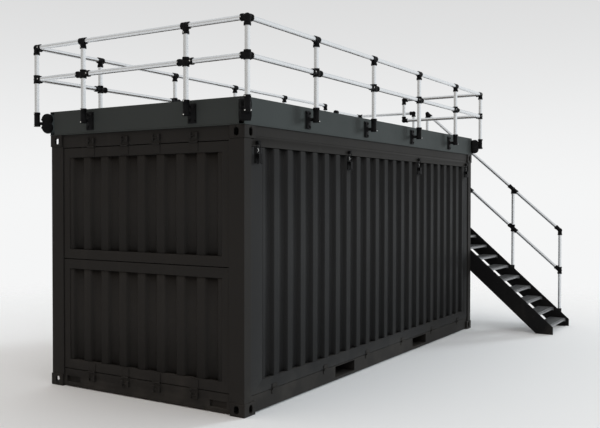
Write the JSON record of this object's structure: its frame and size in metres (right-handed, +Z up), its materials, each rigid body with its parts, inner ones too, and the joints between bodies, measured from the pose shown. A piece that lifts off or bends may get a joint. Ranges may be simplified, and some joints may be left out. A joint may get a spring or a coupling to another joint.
{
  "type": "container with roof terrace and stair",
  "caption": "Steel shipping container with hinged end flaps, fold-down long wall with draw latches, roof terrace in a parapet, tube guardrail and outside stair.",
  "frame": {"origin": "centre of the four bottom corner castings' lock holes, on the plane that the container stands on", "axes": "+X along the container to the stair end, +Y to the fixed long wall, +Z up"},
  "size_m": [7.2735, 3.7575, 3.529],
  "materials": {
    "container_paint": "satin black paint, slightly dusty",
    "wall_paint": "satin charcoal paint",
    "parapet_paint": "satin grey-green black paint",
    "galvanised_tube": "bright galvanised tube",
    "fitting_black": "black coated cast clamp fittings",
    "bright_zinc": "bright zinc",
    "latch_black": "black coated steel",
    "stair_paint": "satin black paint",
    "grating_steel": "dull galvanised grating",
    "floor_plywood": "sealed plywood",
    "deck_timber": "weathered deck boards"
  },
  "bodies": {
    "container": {"bottom_corner_castings": "container_paint", "bottom_side_rails": "container_paint", "corner_post_brackets": "fitting_black", "corner_posts": "container_paint", "deck_boards": "deck_timber", "deck_joists": "deck_timber", "end_headers": "container_paint", "end_sills": "container_paint", "far_end_wall_sheet": "container_paint", "floor_boards": "floor_plywood", "floor_cross_members": "container_paint", "fork_pocket_channels": "container_paint", "guard_corner_fittings": "fitting_black", "guard_mid_crosses": "fitting_black", "guard_mid_rails": "galvanised_tube", "guard_posts": "galvanised_tube", "guard_top_rails": "galvanised_tube", "guard_top_tees": "fitting_black", "hinge_fixed_leaves": "container_paint", "hinge_lugs": "container_paint", "hinge_pins": "container_paint", "landing_frame": "stair_paint", "landing_grating": "grating_steel", "landing_legs": "stair_paint", "latch_keepers": "latch_black", "left_wall_sheet": "container_paint", "parapet_panels": "parapet_paint", "rail_return_elbows": "fitting_black", "rail_return_tube": "galvanised_tube", "roof_sheet": "container_paint", "set_screws": "bright_zinc", "stair_foot_angles": "stair_paint", "stair_rail_fittings": "fitting_black", "stair_rail_posts": "galvanised_tube", "stair_rail_tubes": "galvanised_tube", "stair_stringers": "stair_paint", "stair_treads": "grating_steel", "top_corner_castings": "container_paint", "top_side_rails": "container_paint", "wall_post_brackets": "fitting_black"},
    "upper_flap": {"upper_flap_frame": "container_paint", "upper_flap_sheet": "container_paint", "upper_flap_hinge_leaves": "container_paint"},
    "lower_flap": {"lower_flap_frame": "container_paint", "lower_flap_sheet": "container_paint", "lower_flap_hinge_leaves": "container_paint"},
    "side_wall": {"side_wall_frame": "wall_paint", "side_wall_sheet": "wall_paint", "side_wall_hinge_leaves": "container_paint", "latch_bases": "latch_black", "latch_pivot_pins": "latch_black", "latch_spring_clips": "bright_zinc"},
    "lever_1": {"latch_lever_1": "latch_black"},
    "bail_1": {"latch_bail_1": "latch_black"},
    "lever_2": {"latch_lever_2": "latch_black"},
    "bail_2": {"latch_bail_2": "latch_black"},
    "lever_3": {"latch_lever_3": "latch_black"},
    "bail_3": {"latch_bail_3": "latch_black"},
    "lever_4": {"latch_lever_4": "latch_black"},
    "bail_4": {"latch_bail_4": "latch_black"}
  },
  "joints": [
    {"name": "upper_flap_hinge", "type": "hinge", "parent": "container", "child": "upper_flap", "pos_m": [-3.019, 0, 2.455], "axis": [0, 1, 0], "range_deg": [0, 90]},
    {"name": "lower_flap_hinge", "type": "hinge", "parent": "container", "child": "lower_flap", "pos_m": [-3.019, 0, 0.189], "axis": [0, -1, 0], "range_deg": [0, 90]},
    {"name": "side_wall_hinge", "type": "hinge", "parent": "container", "child": "side_wall", "pos_m": [0, -1.209, 0.1675], "axis": [1, 0, 0], "range_deg": [0, 90]},
    {"name": "lever_1_turn", "type": "hinge", "parent": "side_wall", "child": "lever_1", "pos_m": [-2.8, -1.223, 2.33], "axis": [-1, 0, 0], "range_deg": [0, 90]},
    {"name": "bail_1_turn", "type": "hinge", "parent": "lever_1", "child": "bail_1", "pos_m": [-2.8, -1.221, 2.305], "axis": [-1, 0, 0], "range_deg": [-90, 0]},
    {"name": "lever_2_turn", "type": "hinge", "parent": "side_wall", "child": "lever_2", "pos_m": [-0.985, -1.223, 2.33], "axis": [-1, 0, 0], "range_deg": [0, 90]},
    {"name": "bail_2_turn", "type": "hinge", "parent": "lever_2", "child": "bail_2", "pos_m": [-0.985, -1.221, 2.305], "axis": [-1, 0, 0], "range_deg": [-90, 0]},
    {"name": "lever_3_turn", "type": "hinge", "parent": "side_wall", "child": "lever_3", "pos_m": [0.985, -1.223, 2.33], "axis": [-1, 0, 0], "range_deg": [0, 90]},
    {"name": "bail_3_turn", "type": "hinge", "parent": "lever_3", "child": "bail_3", "pos_m": [0.985, -1.221, 2.305], "axis": [-1, 0, 0], "range_deg": [-90, 0]},
    {"name": "lever_4_turn", "type": "hinge", "parent": "side_wall", "child": "lever_4", "pos_m": [2.8, -1.223, 2.33], "axis": [-1, 0, 0], "range_deg": [0, 90]},
    {"name": "bail_4_turn", "type": "hinge", "parent": "lever_4", "child": "bail_4", "pos_m": [2.8, -1.221, 2.305], "axis": [-1, 0, 0], "range_deg": [-90, 0]}
  ],
  "couplings": [
    {"joint": "bail_1_turn", "follows": "lever_1_turn", "ratio": -1},
    {"joint": "bail_2_turn", "follows": "lever_2_turn", "ratio": -1},
    {"joint": "bail_3_turn", "follows": "lever_3_turn", "ratio": -1},
    {"joint": "bail_4_turn", "follows": "lever_4_turn", "ratio": -1}
  ]
}
